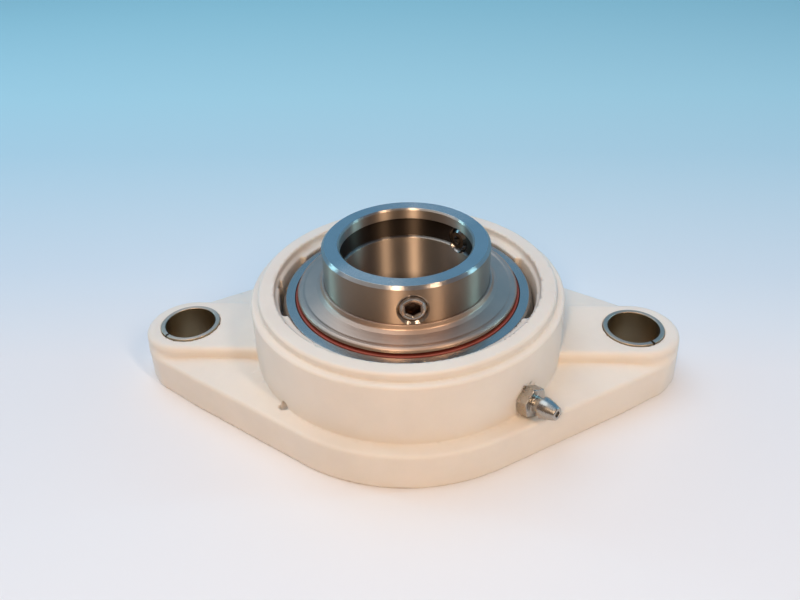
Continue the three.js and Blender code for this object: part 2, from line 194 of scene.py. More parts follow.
def rounded(profile, radius, closed=True):
    """The profile with its corners turned into arcs, and each point's outward normal."""
    count = len(profile)
    points = [np.array(p[:2], float) for p in profile]
    result = []
    for i, corner in enumerate(points):
        if not closed and i in (0, count - 1):
            other = points[1] if i == 0 else points[-2]
            way = (other - corner) if i == 0 else (corner - other)
            way = way / np.linalg.norm(way)
            result.append((corner, np.array([way[1], -way[0]])))
            continue
        before = points[i - 1] - corner
        after = points[(i + 1) % count] - corner
        short = min(np.linalg.norm(before), np.linalg.norm(after))
        before = before / np.linalg.norm(before)
        after = after / np.linalg.norm(after)
        normal_in = np.array([-before[1], before[0]])
        normal_out = np.array([after[1], -after[0]])
        turn = math.acos(max(-1.0, min(1.0, float(normal_in @ normal_out))))
        wanted = profile[i][2] if len(profile[i]) > 2 else radius
        size = min(wanted, 0.45 * short / max(math.tan(turn / 2), 1e-6))
        if turn < math.radians(12) or size < 0.01:
            middle = normal_in + normal_out
            result.append((corner, middle / np.linalg.norm(middle)))
            continue
        reach = size * math.tan(turn / 2)
        bend = 1.0 if float(normal_in @ after) < 0 else -1.0
        centre = corner + before * reach - normal_in * size * bend
        steps = max(2, math.ceil(math.degrees(turn) / 18))
        for k in range(steps + 1):
            share = k / steps
            normal = normal_in * math.sin((1 - share) * turn) + normal_out * math.sin(share * turn)
            normal = normal / np.linalg.norm(normal)
            result.append((centre + normal * size * bend, normal))
    return result


def turned(name, profile, radius=0.2, segments=192, closed=True, place=None):
    """Revolves a counter-clockwise profile about Z. An open one starts and ends on the axis."""
    outline = rounded(profile, radius, closed)
    angles = np.linspace(0, 2 * math.pi, segments, endpoint=False)
    cos, sin = np.cos(angles), np.sin(angles)
    points, normals, rings = [], [], []
    for (r, z), (nr, nz) in outline:
        start = len(points)
        if r < 1e-6:
            points.append((0, 0, z))
            normals.append((0, 0, 1.0 if nz > 0 else -1.0))
            rings.append([start] * segments)
            continue
        points += [(r * c, r * s, z) for c, s in zip(cos, sin)]
        normals += [(nr * c, nr * s, nz) for c, s in zip(cos, sin)]
        rings.append(list(range(start, start + segments)))
    faces = []
    pairs = zip(rings, rings[1:] + rings[:1]) if closed else zip(rings, rings[1:])
    for low, high in pairs:
        for i in range(segments):
            j = (i + 1) % segments
            corners = [low[i], low[j], high[j], high[i]]
            faces.append(tuple(dict.fromkeys(corners)))
    return make_piece(name, points, faces, normals, place)


def cut(piece, cutters):
    """Takes the cutters away from the piece."""
    for cutter in cutters:
        change = piece.modifiers.new("cut", "BOOLEAN")
        change.operation = "DIFFERENCE"
        change.solver = "EXACT"
        change.object = cutter
    bpy.context.view_layer.update()
    graph = bpy.context.evaluated_depsgraph_get()
    mesh = bpy.data.meshes.new_from_object(piece.evaluated_get(graph))
    piece.modifiers.clear()
    old = piece.data
    piece.data = mesh
    bpy.data.meshes.remove(old)
    for cutter in cutters:
        bpy.data.objects.remove(cutter)
    return piece


def restore_normals(piece, outline, height, hole_axes):
    """Exact normals on a cut turned piece: the profile's own or a hole's, whichever a face matches."""
    mesh = piece.data
    starts = np.array([p for p, _ in outline])
    normals = np.array([n for _, n in outline])
    ends = np.roll(starts, -1, axis=0)
    end_normals = np.roll(normals, -1, axis=0)
    corner_vertex = np.zeros(len(mesh.loops), int)
    mesh.loops.foreach_get("vertex_index", corner_vertex)
    at = np.zeros(len(mesh.vertices) * 3)
    mesh.vertices.foreach_get("co", at)
    at = at.reshape(-1, 3)[corner_vertex] / MM
    face_normal = np.zeros(len(mesh.polygons) * 3)
    mesh.polygons.foreach_get("normal", face_normal)
    sizes = np.zeros(len(mesh.polygons), int)
    mesh.polygons.foreach_get("loop_total", sizes)
    face_normal = np.repeat(face_normal.reshape(-1, 3), sizes, axis=0)
    spread = np.hypot(at[:, 0], at[:, 1])
    flat = np.stack([spread, at[:, 2] - height], axis=1)
    span = ends - starts
    share = ((flat[:, None] - starts) * span).sum(2) / np.maximum((span * span).sum(1), 1e-12)
    share = np.clip(share, 0, 1)
    away = np.linalg.norm(flat[:, None] - (starts + share[..., None] * span), axis=2)
    nearest = away.argmin(1)
    rows = np.arange(len(at))
    part = share[rows, nearest][:, None]
    on_profile = normals[nearest] * (1 - part) + end_normals[nearest] * part
    turn = at[:, :2] / np.maximum(spread, 1e-9)[:, None]
    exact = np.column_stack([turn * on_profile[:, :1], on_profile[:, 1]])
    exact /= np.linalg.norm(exact, axis=1)[:, None]
    use = ((exact * face_normal).sum(1) > 0.9) & (away[rows, nearest] < 0.05)
    result = np.where(use[:, None], exact, face_normal)
    for axis, centre_height in hole_axes:
        offset = at - np.array([0, 0, centre_height])
        outward = offset - (offset @ axis)[:, None] * axis
        outward /= np.maximum(np.linalg.norm(outward, axis=1), 1e-9)[:, None]
        wall = ((-outward * face_normal).sum(1) > 0.97) & ~use
        result = np.where(wall[:, None], -outward, result)
    mesh.normals_split_custom_set(result.tolist())


# ---- Moulded and pressed pieces: solids given by a distance field ----


def union(a, b, fillet=0.0):
    """Either solid; the fillet may vary from point to point."""
    corner = np.hypot(np.maximum(fillet - a, 0), np.maximum(fillet - b, 0))
    return np.maximum(fillet, np.minimum(a, b)) - corner


def both(a, b, edge=0.0):
    """What the two solids share, with the edge between them rounded."""
    corner = np.hypot(np.maximum(edge + a, 0), np.maximum(edge + b, 0))
    return np.minimum(-edge, np.maximum(a, b)) + corner


def less(a, b, edge=0.0):
    return both(a, -b, edge)


def slopes(field, points, step=0.02):
    """The field's gradient at each point."""
    x, y, z = points.T
    return np.stack(
        [
            field(x + step, y, z) - field(x - step, y, z),
            field(x, y + step, z) - field(x, y - step, z),
            field(x, y, z + step) - field(x, y, z - step),
        ],
        axis=1,
    ) / (2 * step)


def shaped(name, field, low, high, voxel, adaptivity=0.0, place=None):
    """Meshes a field's zero surface, settles each point on it and takes the normals from the field."""
    low = np.asarray(low, float) - 2 * voxel
    high = np.asarray(high, float) + 2 * voxel
    counts = np.ceil((high - low) / voxel).astype(int) + 1
    axes = [low[i] + voxel * np.arange(counts[i]) for i in range(3)]
    x, y, z = np.meshgrid(*axes, indexing="ij", sparse=True)
    values = np.broadcast_to(field(x, y, z), counts).astype(np.float32)
    grid = openvdb.FloatGrid(background=3 * voxel)
    grid.copyFromArray(np.clip(values, -3 * voxel, 3 * voxel))
    points, triangles, quads = grid.convertToPolygons(isovalue=0.0, adaptivity=adaptivity)
    points = low + np.asarray(points, float) * voxel
    for _ in range(3):
        slope = slopes(field, points)
        size = np.maximum((slope * slope).sum(1), 1e-6)
        move = (field(*points.T) / size)[:, None] * slope
        length = np.linalg.norm(move, axis=1)
        move *= np.minimum(1, 0.5 * voxel / np.maximum(length, 1e-9))[:, None]
        points = points - move
    normals = slopes(field, points)
    normals /= np.maximum(np.linalg.norm(normals, axis=1), 1e-9)[:, None]
    faces = [tuple(face) for face in triangles[:, ::-1].tolist()]
    faces += [tuple(face) for face in quads[:, ::-1].tolist()]
    first = np.array(faces[0])
    normal = np.cross(points[first[1]] - points[first[0]], points[first[2]] - points[first[0]])
    if normal @ normals[first[0]] < 0:
        faces = [face[::-1] for face in faces]
    return make_piece(name, points, faces, normals, place)


def capsule_outline(x, y, wide, narrow, reach):
    """Distance to the outline of a wide circle and a narrow one at each end, joined by tangents."""
    x, y = np.abs(y), np.abs(x)
    slope = (wide - narrow) / reach
    rise = math.sqrt(1 - slope * slope)
    along = -slope * x + rise * y
    centre = np.hypot(x, y) - wide
    end = np.hypot(x, y - reach) - narrow
    side = rise * x + slope * y - wide
    return np.where(along < 0, centre, np.where(along > rise * reach, end, side))


def port_frame():
    """The grease port's axis: its origin is the middle of the hexagon's back face."""
    return (
        Matrix.Rotation(math.radians(NIPPLE_ANGLE), 4, "Z")
        @ Matrix.Translation((NIPPLE_REACH, 0, NIPPLE_HEIGHT))
        @ Matrix.Rotation(math.pi / 2 - math.radians(NIPPLE_TILT), 4, "Y")
    )


def to_port(x, y, z):
    """Distance from the port's axis, and the place along it."""
    back = port_frame().inverted()
    u, v, w = ((row[0] * x + row[1] * y + row[2] * z + row[3]) for row in back[:3])
    return np.hypot(u, v), w


def lugs_field(x, y, z):
    """The flange and the raised pad along it.

    The flange's wall leans beside the boss and stands upright at the bolt ends. The pad's wall leans all
    round, so that its top is flush with those ends and its foot reaches past them.
    """
    flange_wall = capsule_outline(x, y, FLANGE_CENTRE_RADIUS, FLANGE_END_RADIUS, FLANGE_END_X)
    at_end = np.interp(np.abs(x), (BOLT_X - END_WALL_BLEND, BOLT_X + END_WALL_BLEND), (0, 1))
    flange_wall = flange_wall + DRAFT * (z + (PAD_HEIGHT - z) * at_end)
    climb = np.interp(np.abs(x), (LEDGE_START_X, LEDGE_FULL_X), (0, LEDGE_RISE))
    rise = climb * np.clip(-flange_wall / LEDGE_RUN, 0, 1)
    pad_wall = capsule_outline(x, y, PAD_HALF_WIDTH + 0.01, PAD_HALF_WIDTH, PAD_END_X)
    pad_wall = pad_wall + DRAFT * (z - PAD_HEIGHT)
    ledge = pad_wall - flange_wall
    fillet = np.interp(ledge, (0, 1, 2.5, 3.5), (0, 1.8, 0.8, 0.4))  # tighter where the ledge is wide
    flange = both(flange_wall, z - FLANGE_THICKNESS - rise, np.clip(ledge, 0, 0.9))
    pad = both(pad_wall, z - PAD_HEIGHT, 1.7)
    return union(flange, pad, fillet)


def hollow_field(x, y, z):
    """The spherical seat and its mouth, the two loading slots and the groove that the pin sweeps."""
    spread = np.hypot(x, y)
    seat = np.sqrt(x * x + y * y + (z - CENTRE) ** 2) - SEAT_RADIUS
    hollow = union(spread - MOUTH_RADIUS, seat)
    slot = both(both(spread - SLOT_RADIUS, CENTRE - z), np.abs(y) - SLOT_HALF_WIDTH, 0.5)
    groove = both(np.hypot(x, z - CENTRE) - PIN_END - 0.3, np.abs(y) - PIN_RADIUS - 0.4, 0.2)
    groove = both(both(groove, x), CENTRE - PIN_RADIUS - 1.7 - z)
    return union(union(hollow, slot), groove)


def port_field(x, y, z):
    """The spot face under the nipple, its threaded hole and the passage to the seat."""
    off_axis, along = to_port(x, y, z)
    spot_face = both(off_axis - NIPPLE_FLATS / math.sqrt(3) - 0.1, -0.05 - along)
    hole = both(off_axis - 2.85, np.abs(along + 1.5) - 4.5)
    passage = both(off_axis - 1.5, np.abs(along + 6) - 6)
    return union(union(spot_face, hole), passage)


def gate_field(x, y, z):
    """The scar where the moulding's sprue broke off, in the corner at the foot of the boss."""
    level = (x - GATE_SCAR.x) ** 2 + (y - GATE_SCAR.y) ** 2
    away = np.sqrt(level + GATE_SCAR_SQUASH * (z - GATE_SCAR.z) ** 2)
    return away - GATE_SCAR_RADIUS


def housing_field(x, y, z):
    spread = np.hypot(x, y)
    boss = both(spread - BOSS_RADIUS - 0.2 + 0.012 * z, z - SHOULDER_HEIGHT, 0.8)
    land = both(spread - LAND_OUTER_RADIUS, z - LAND_HEIGHT, 0.9)
    body = union(lugs_field(x, y, z), boss, 0.45)
    body = union(body, land, 0.35)
    body = both(body, -z, 0.35)
    body = less(body, hollow_field(x, y, z), 0.35)
    recess = both(spread - LAND_INNER_RADIUS, SHOULDER_HEIGHT - z, 1.1)
    body = less(body, recess, 0.5)
    back_rim = (spread - MOUTH_RADIUS - 2.0 + z) * math.sqrt(0.5)
    body = less(body, back_rim, 0.2)
    sleeve_hole = np.hypot(np.abs(x) - BOLT_X, y) - SLEEVE_RADIUS - 0.04
    body = less(body, sleeve_hole, 0.3)
    body = less(body, port_field(x, y, z), 0.15)
    return less(body, gate_field(x, y, z), 0.1)


# ---- Materials ----


def new_material(name, color, roughness, metallic):
    material = bpy.data.materials.new(name)
    material.use_nodes = True
    shader = material.node_tree.nodes["Principled BSDF"]
    shader.inputs["Base Color"].default_value = (*color, 1)
    shader.inputs["Roughness"].default_value = roughness
    shader.inputs["Metallic"].default_value = metallic
    material.diffuse_color = (*color, 1)
    return material, material.node_tree, shader


def noise(tree, vector, scale, detail=4.0, roughness=0.6):
    node = tree.nodes.new("ShaderNodeTexNoise")
    node.inputs["Scale"].default_value = scale
    node.inputs["Detail"].default_value = detail
    node.inputs["Roughness"].default_value = roughness
    tree.links.new(vector, node.inputs["Vector"])
    return node.outputs["Fac"]


def ramp(tree, value, stops):
    """A ramp from factor to colour; each stop is (position, colour)."""
    node = tree.nodes.new("ShaderNodeValToRGB")
    tree.links.new(value, node.inputs["Fac"])
    elements = node.color_ramp.elements
    elements[0].position, elements[0].color = stops[0][0], (*stops[0][1], 1)
    elements[1].position, elements[1].color = stops[-1][0], (*stops[-1][1], 1)
    for position, color in stops[1:-1]:
        elements.new(position).color = (*color, 1)
    return node.outputs["Color"]


def span(tree, value, low, high):
    """Maps a factor from 0..1 onto low..high."""
    node = tree.nodes.new("ShaderNodeMapRange")
    node.inputs["To Min"].default_value = low
    node.inputs["To Max"].default_value = high
    tree.links.new(value, node.inputs["Value"])
    return node.outputs["Result"]


def bump(tree, shader, height, distance, strength=1.0):
    node = tree.nodes.new("ShaderNodeBump")
    node.inputs["Distance"].default_value = distance
    node.inputs["Strength"].default_value = strength
    tree.links.new(height, node.inputs["Height"])
    previous = shader.inputs["Normal"].links
    if previous:
        tree.links.new(previous[0].from_socket, node.inputs["Normal"])
    tree.links.new(node.outputs["Normal"], shader.inputs["Normal"])


def mix(tree, factor, low, high):
    """A colour between two others, each a colour or a socket."""
    node = tree.nodes.new("ShaderNodeMix")
    node.data_type = "RGBA"
    tree.links.new(factor, node.inputs["Factor"])
    for name, value in (("A", low), ("B", high)):
        socket = next(s for s in node.inputs if s.name == name and s.type == "RGBA")
        if isinstance(value, tuple):
            socket.default_value = (*value, 1)
        else:
            tree.links.new(value, socket)
    return next(s for s in node.outputs if s.type == "RGBA")


def share_along(tree, value, start, end):
    """0 before the start and 1 after the end, in millimetres."""
    node = tree.nodes.new("ShaderNodeMapRange")
    node.inputs["From Min"].default_value = start * MM
    node.inputs["From Max"].default_value = end * MM
    tree.links.new(value, node.inputs["Value"])
    return node.outputs["Result"]


def object_place(tree):
    return tree.nodes.new("ShaderNodeTexCoord").outputs["Object"]


def scaled(color, share):
    return tuple(c * share for c in color)


def moulded_plastic():
    color = (0.80, 0.72, 0.635)
    material, tree, shader = new_material("moulded_plastic", color, 0.5, 0.0)
    place = object_place(tree)
    clouds = noise(tree, place, 45.0, 5.0)
    tone = ramp(tree, clouds, [(0.35, scaled(color, 0.965)), (0.65, scaled(color, 1.03))])
    from_scar = tree.nodes.new("ShaderNodeVectorMath")
    from_scar.operation = "DISTANCE"
    tree.links.new(place, from_scar.inputs[0])
    from_scar.inputs[1].default_value = GATE_SCAR * MM
    off_scar = share_along(tree, from_scar.outputs["Value"], GATE_SCAR_RADIUS - 0.4, GATE_SCAR_RADIUS + 0.25)
    # The gate scar's dimple is coloured at half the plastic's colour, darker than the rest.
    tone = mix(tree, off_scar, scaled(color, 0.5), tone)
    tree.links.new(tone, shader.inputs["Base Color"])
    grain = noise(tree, place, 2600.0, 3.0)
    swell = noise(tree, place, 180.0, 2.0)
    bump(tree, shader, swell, 0.00006)
    bump(tree, shader, grain, 0.00003)
    tree.links.new(span(tree, clouds, 0.44, 0.56), shader.inputs["Roughness"])
    shader.inputs["Subsurface Weight"].default_value = 0.12
    shader.inputs["Subsurface Radius"].default_value = (1.0, 0.6, 0.4)
    shader.inputs["Subsurface Scale"].default_value = 0.0012
    shader.inputs["Specular IOR Level"].default_value = 0.4
    return material


def product(tree, first, second):
    node = tree.nodes.new("ShaderNodeMath")
    node.operation = "MULTIPLY"
    tree.links.new(first, node.inputs[0])
    tree.links.new(second, node.inputs[1])
    return node.outputs["Value"]


def face_share(tree):
    """1 on faces square to the shaft, 0 on walls along it."""
    normal = tree.nodes.new("ShaderNodeTexCoord").outputs["Normal"]
    parts = tree.nodes.new("ShaderNodeSeparateXYZ")
    tree.links.new(normal, parts.inputs["Vector"])
    size = tree.nodes.new("ShaderNodeMath")
    size.operation = "ABSOLUTE"
    tree.links.new(parts.outputs["Z"], size.inputs[0])
    return size.outputs["Value"]


def from_axis(tree, place):
    """Distance from the shaft's axis."""
    flat = tree.nodes.new("ShaderNodeVectorMath")
    flat.operation = "MULTIPLY"
    tree.links.new(place, flat.inputs[0])
    flat.inputs[1].default_value = (1, 1, 0)
    spread = tree.nodes.new("ShaderNodeVectorMath")
    spread.operation = "LENGTH"
    tree.links.new(flat.outputs["Vector"], spread.inputs[0])
    return spread.outputs["Value"]


BORE_COLOR = (0.58, 0.455, 0.35)
BORE_SHADE_START = 12.0  # depths below the relief; from one to the other the bore turns to painted shade, almost black
BORE_SHADE_END = 18.0
SCREW_RIM = (0.9, 0.4)  # depths below the collar's wall, over which the painted shade on a screw gives way to the bright steel of its rim
SCREW_SOCKET = (3.6, 3.2)  # and over which that painted shade turns from dull grey at the tip to dark brown in the socket


def turned_steel(name, face_color, wall_color, face_roughness, wall_roughness, anisotropy=0.5, relief=None):
    """Steel with fine marks that run round the shaft axis, as turning and grinding leave.

    The relief is a band of the bore, as (bottom, top, radius), that no wheel has polished; it is painted dark
    as painted shade in the groove.
    """
    material, tree, shader = new_material(name, face_color, face_roughness, 1.0)
    place = object_place(tree)
    parts = tree.nodes.new("ShaderNodeSeparateXYZ")
    tree.links.new(place, parts.inputs["Vector"])
    spread = from_axis(tree, place)
    groove_place = tree.nodes.new("ShaderNodeCombineXYZ")
    tree.links.new(spread, groove_place.inputs["X"])
    tree.links.new(parts.outputs["Z"], groove_place.inputs["Z"])
    grooves = noise(tree, groove_place.outputs["Vector"], 5200.0, 4.0, 0.7)
    bands = noise(tree, groove_place.outputs["Vector"], 900.0, 2.0)
    bump(tree, shader, bands, 0.00003)
    bump(tree, shader, grooves, 0.00002)
    on_face = face_share(tree)
    blotches = noise(tree, place, 160.0, 4.0)
    # Painted reflection: walls and end faces of one steel get different colours, standing in for what each
    # side mirrors.
    color = mix(tree, on_face, wall_color, face_color)
    shade = ramp(tree, blotches, [(0.3, (0.92, 0.92, 0.92)), (0.7, (1.0, 1.0, 1.0))])
    worn = tree.nodes.new("ShaderNodeVectorMath")
    worn.operation = "MULTIPLY"
    tree.links.new(color, worn.inputs[0])
    tree.links.new(shade, worn.inputs[1])
    color = worn.outputs["Vector"]
    if relief:
        bottom, top, radius = relief
        in_bore = share_along(tree, spread, radius - 0.6, radius - 0.9)
        color = mix(tree, in_bore, color, BORE_COLOR)
        # Painted shade: the lower bore is coloured at 8% of the bore's colour, to keep its reflections dark.
        low = share_along(tree, parts.outputs["Z"], bottom - BORE_SHADE_START, bottom - BORE_SHADE_END)
        low_bore_shade = product(tree, in_bore, low)
        color = mix(tree, low_bore_shade, color, scaled(BORE_COLOR, 0.08))
        # Painted shade: the relief band is coloured at 0.22 of the wall colour.
        relief_shade = product(
            tree,
            product(
                tree,
                share_along(tree, parts.outputs["Z"], bottom - 0.2, bottom + 0.2),
                share_along(tree, parts.outputs["Z"], top + 0.2, top - 0.2),
            ),
            share_along(tree, spread, radius + 0.1, radius),
        )
        color = mix(tree, relief_shade, color, scaled(wall_color, 0.22))
    tree.links.new(color, shader.inputs["Base Color"])
    polish = span(tree, on_face, wall_roughness, face_roughness)
    finish = product(tree, polish, span(tree, blotches, 0.85, 1.15))
    tree.links.new(finish, shader.inputs["Roughness"])
    shader.inputs["Anisotropic"].default_value = anisotropy
    shader.inputs["Anisotropic Rotation"].default_value = 0.25
    tangent = tree.nodes.new("ShaderNodeTangent")
    tangent.direction_type = "RADIAL"
    tangent.axis = "Z"
    tree.links.new(tangent.outputs["Tangent"], shader.inputs["Tangent"])
    return material


def plain_steel(name, color, roughness, grain_scale=1800.0, grain=0.00001):
    material, tree, shader = new_material(name, color, roughness, 1.0)
    place = object_place(tree)
    fine = noise(tree, place, grain_scale, 4.0)
    clouds = noise(tree, place, 260.0, 3.0)
    bump(tree, shader, fine, grain)
    tone = ramp(tree, clouds, [(0.3, scaled(color, 0.9)), (0.7, scaled(color, 1.08))])
    tree.links.new(tone, shader.inputs["Base Color"])
    tree.links.new(span(tree, clouds, roughness * 0.8, roughness * 1.25), shader.inputs["Roughness"])
    return material, tree, shader


def screw_steel():
    """Steel colour on the screw's rim and painted shade below it: dark brown down in its socket, dull grey at
    its tip.
    """
    material, tree, shader = plain_steel("screw_steel", (0.52, 0.48, 0.44), 0.22)
    spread = from_axis(tree, object_place(tree))
    rim = share_along(tree, spread, INNER_RADIUS - SCREW_RIM[0], INNER_RADIUS - SCREW_RIM[1])
    tone = shader.inputs["Base Color"].links[0].from_socket
    socket = share_along(tree, spread, INNER_RADIUS - SCREW_SOCKET[0], INNER_RADIUS - SCREW_SOCKET[1])
    # Painted shade on the screw below its rim: dull grey at the tip, dark brown in the socket.
    painted_screw_shade = mix(tree, socket, (0.22, 0.21, 0.20), (0.12, 0.07, 0.045))
    tree.links.new(mix(tree, rim, painted_screw_shade, tone), shader.inputs["Base Color"])
    return material


def silicone():
    color = (0.27, 0.05, 0.03)
    material, tree, shader = new_material("silicone", color, 0.5, 0.0)
    place = object_place(tree)
    clouds = noise(tree, place, 300.0, 3.0)
    tone = ramp(tree, clouds, [(0.3, scaled(color, 0.85)), (0.7, scaled(color, 1.12))])
    tree.links.new(tone, shader.inputs["Base Color"])
    bump(tree, shader, noise(tree, place, 3000.0), 0.00001)
    tree.links.new(span(tree, clouds, 0.42, 0.58), shader.inputs["Roughness"])
    return material


plastic_look = moulded_plastic()
bore_relief = (INNER_HIGH.z - 9.4, INNER_HIGH.z - 3.4, BORE_RADIUS + 1)
# The face and wall colours of each turned steel differ as painted reflection.
ring_look = turned_steel("ground_ring", (0.47, 0.42, 0.37), (0.42, 0.37, 0.32), 0.24, 0.32, 0.5)
inner_look = turned_steel(
    "ground_collar", (0.52, 0.48, 0.44), (0.43, 0.32, 0.235), 0.2, 0.5, anisotropy=1.0, relief=bore_relief
)
flinger_look = turned_steel("pressed_flinger", (0.56, 0.40, 0.31), (0.60, 0.43, 0.31), 0.42, 0.42, 0.5)
sleeve_look = turned_steel("rolled_sleeve", (0.56, 0.43, 0.33), (0.44, 0.35, 0.23), 0.45, 0.32, 0.4)
screw_look = screw_steel()
nipple_look = plain_steel("nipple_steel", (0.46, 0.42, 0.37), 0.27)[0]
ball_look = plain_steel("ball_steel", (0.70, 0.70, 0.71), 0.08)[0]
cage_look = plain_steel("cage_strip", (0.56, 0.56, 0.55), 0.34)[0]
silicone_look = silicone()


# ---- Housing and sleeves ----


def make_housing():
    voxel = 0.6
    piece = shaped("moulded_housing", housing_field, HOUSING_LOW, HOUSING_HIGH, voxel, 0.02)
    finish_piece(piece, "housing", "housing", plastic_look)


def make_sleeve(side, sign):
    """A strip rolled into a tube: the revolved profile stops short of a full turn at the slit."""
    profile = [(SLEEVE_BORE, 0), (SLEEVE_RADIUS, 0), (SLEEVE_RADIUS, SLEEVE_TOP), (SLEEVE_BORE, SLEEVE_TOP)]
    outline = rounded(profile, 0.25)
    half_slit = SLIT_WIDTH / (SLEEVE_RADIUS + SLEEVE_BORE)
    middle = math.radians(SLIT_ANGLES[side])
    steps = 96
    angles = np.linspace(middle + half_slit, middle + 2 * math.pi - half_slit, steps + 1)
    count = len(outline)
    points = [(r * math.cos(a), r * math.sin(a), z) for a in angles for (r, z), _ in outline]
    normals = [(nr * math.cos(a), nr * math.sin(a), nz) for a in angles for _, (nr, nz) in outline]
    faces = []
    for step in range(steps):
        for i in range(count):
            j = (i + 1) % count
            here, there = step * count, (step + 1) * count
            faces.append((here + i, there + i, there + j, here + j))
    caps = len(points)
    for a, way in ((angles[0], 1), (angles[-1], -1)):
        points += [(r * math.cos(a), r * math.sin(a), z) for (r, z), _ in outline]
        normals += [(way * math.sin(a), -way * math.cos(a), 0)] * count
    faces.append(tuple(caps + i for i in range(count)))
    faces.append(tuple(caps + count + i for i in reversed(range(count))))
    piece = make_piece(f"{side}_sleeve", points, faces, normals, Matrix.Translation((sign * BOLT_X, 0, 0)))
    finish_piece(piece, "housing", f"{side}_bolt_sleeve", sleeve_look)


make_housing()
make_sleeve("left", -1)
make_sleeve("right", 1)


# ---- Rings ----


def radial_cutter(name, profile, angle, height):
    return turned(name, profile, 0.0, 48, closed=False, place=along_radius(angle, height))


def make_outer_ring():
    def on_sphere(height):
        return math.degrees(math.asin(height / SPHERE_RADIUS))

    edge = RING_HALF - 0.5
    corner = SPHERE_RADIUS * math.cos(math.radians(on_sphere(edge))) - 0.6
    floor = RING_HALF - SEAL_SEAT_DEPTH
    lip = math.degrees(math.acos((OUTER_LAND_RADIUS - PITCH_RADIUS) / RACEWAY_RADIUS))
    profile = [
        (corner, -RING_HALF),
        *arc(0, 0, SPHERE_RADIUS, on_sphere(-edge), on_sphere(GREASE_GROOVE - 0.8), 5),
        (SPHERE_RADIUS - 0.9, GREASE_GROOVE - 0.5),
        (SPHERE_RADIUS - 0.9, GREASE_GROOVE + 0.5),
        *arc(0, 0, SPHERE_RADIUS, on_sphere(GREASE_GROOVE + 0.8), on_sphere(edge), 14),
        (corner, RING_HALF),
        (SEAL_SEAT_RADIUS, RING_HALF),
        (SEAL_SEAT_RADIUS, floor),
        (OUTER_LAND_RADIUS, floor),
        *arc(PITCH_RADIUS, 0, RACEWAY_RADIUS, lip, -lip, 20),
        (OUTER_LAND_RADIUS, -floor),
        (SEAL_SEAT_RADIUS, -floor),
        (SEAL_SEAT_RADIUS, -RING_HALF),
    ]
    ring = turned("bearing_outer_ring", profile, 0.25, 192, place=lift(CENTRE))
    pin = [(0, PIN_START - 0.2), (PIN_RADIUS + 0.05, PIN_START - 0.2), (PIN_RADIUS + 0.05, 40), (0, 40)]
    port = [(0, 27), (1, 27), (1, 40), (0, 40)]
    cutters = [radial_cutter("pin_hole", pin, 180, CENTRE)]
    cutters.append(radial_cutter("grease_hole", port, NIPPLE_ANGLE, CENTRE + GREASE_GROOVE))
    cut(ring, cutters)
    restore_normals(ring, rounded(profile, 0.25), CENTRE, [])
    finish_piece(ring, "outer_ring", "outer_ring", ring_look)


def thread_profile(radius, depth, pitch, start, end):
    """The outline of a thread, from the axis at its start to the axis at its end."""
    count = round((end - start) / pitch)
    points = [(0, start), (radius - depth, start)]
    for i in range(count):
        low = start + (end - start) * i / count
        high = start + (end - start) * (i + 1) / count
        points.append((radius - depth, low + 0.02))
        points.append((radius, (low + high) / 2))
    return [*points, (radius - depth, end), (0, end)]


def make_inner_ring():
    chamfer, bore_chamfer, relief = 0.8, 0.5, 0.85
    top, bottom = LONG_SIDE, -SHORT_SIDE
    lip = math.degrees(math.acos((PITCH_RADIUS - INNER_RADIUS) / RACEWAY_RADIUS))
    profile = [
        (BORE_RADIUS + bore_chamfer, bottom),
        (INNER_RADIUS - chamfer, bottom),
        (INNER_RADIUS, bottom + chamfer),
        *arc(PITCH_RADIUS, 0, RACEWAY_RADIUS, 180 + lip, 180 - lip, 20),
        (INNER_RADIUS, top - chamfer),
        (INNER_RADIUS - chamfer, top),
        (BORE_RADIUS + bore_chamfer, top),
        (BORE_RADIUS, top - bore_chamfer),
        (BORE_RADIUS, top - 3.2),
        (BORE_RADIUS + relief, top - 3.7),
        (BORE_RADIUS + relief, top - 9.2),
        (BORE_RADIUS, top - 9.7),
        (BORE_RADIUS, bottom + bore_chamfer),
    ]
    ring = turned("set_screw_collar_ring", profile, 0.12, 256, place=lift(CENTRE))
    hole = [
        (0, 12),
        *thread_profile(SCREW_RADIUS + 0.06, 0.3, 1.0, 14, 22)[1:-1],
        (SCREW_RADIUS - 0.1, INNER_RADIUS - 0.75),
        (SCREW_RADIUS + 0.75, INNER_RADIUS + 0.05),
        (SCREW_RADIUS + 0.75, 26),
        (0, 26),
    ]
    cutters, axes = [], []
    for side, angle in SCREW_ANGLES.items():
        cutters.append(radial_cutter(f"{side}_hole", hole, angle, CENTRE + SCREW_OFFSET))
        turn = math.radians(angle)
        axes.append((np.array([math.cos(turn), math.sin(turn), 0]), CENTRE + SCREW_OFFSET))
    cut(ring, cutters)
    restore_normals(ring, rounded(profile, 0.12), CENTRE, axes)
    finish_piece(ring, "inner_ring", "inner_ring", inner_look)


make_outer_ring()
make_inner_ring()


# ---- Balls, cage and rivets ----

ball_angles = [360 * i / BALL_COUNT + 10 for i in range(BALL_COUNT)]
half_step = 180 / BALL_COUNT


def on_pitch(angle):
    turn = math.radians(angle)
    return Vector((PITCH_RADIUS * math.cos(turn), PITCH_RADIUS * math.sin(turn), CENTRE))


def make_balls():
    profile = arc(0, 0, BALL_RADIUS, -90, 90, 24)
    profile[0] = (0, -BALL_RADIUS)
    profile[-1] = (0, BALL_RADIUS)
    for i, angle in enumerate(ball_angles, 1):
        ball = turned(f"bearing_ball_{i}", profile, 0.0, 48, False, Matrix.Translation(on_pitch(angle)))
        finish_piece(ball, f"ball_{i}", f"ball_{i}", ball_look)


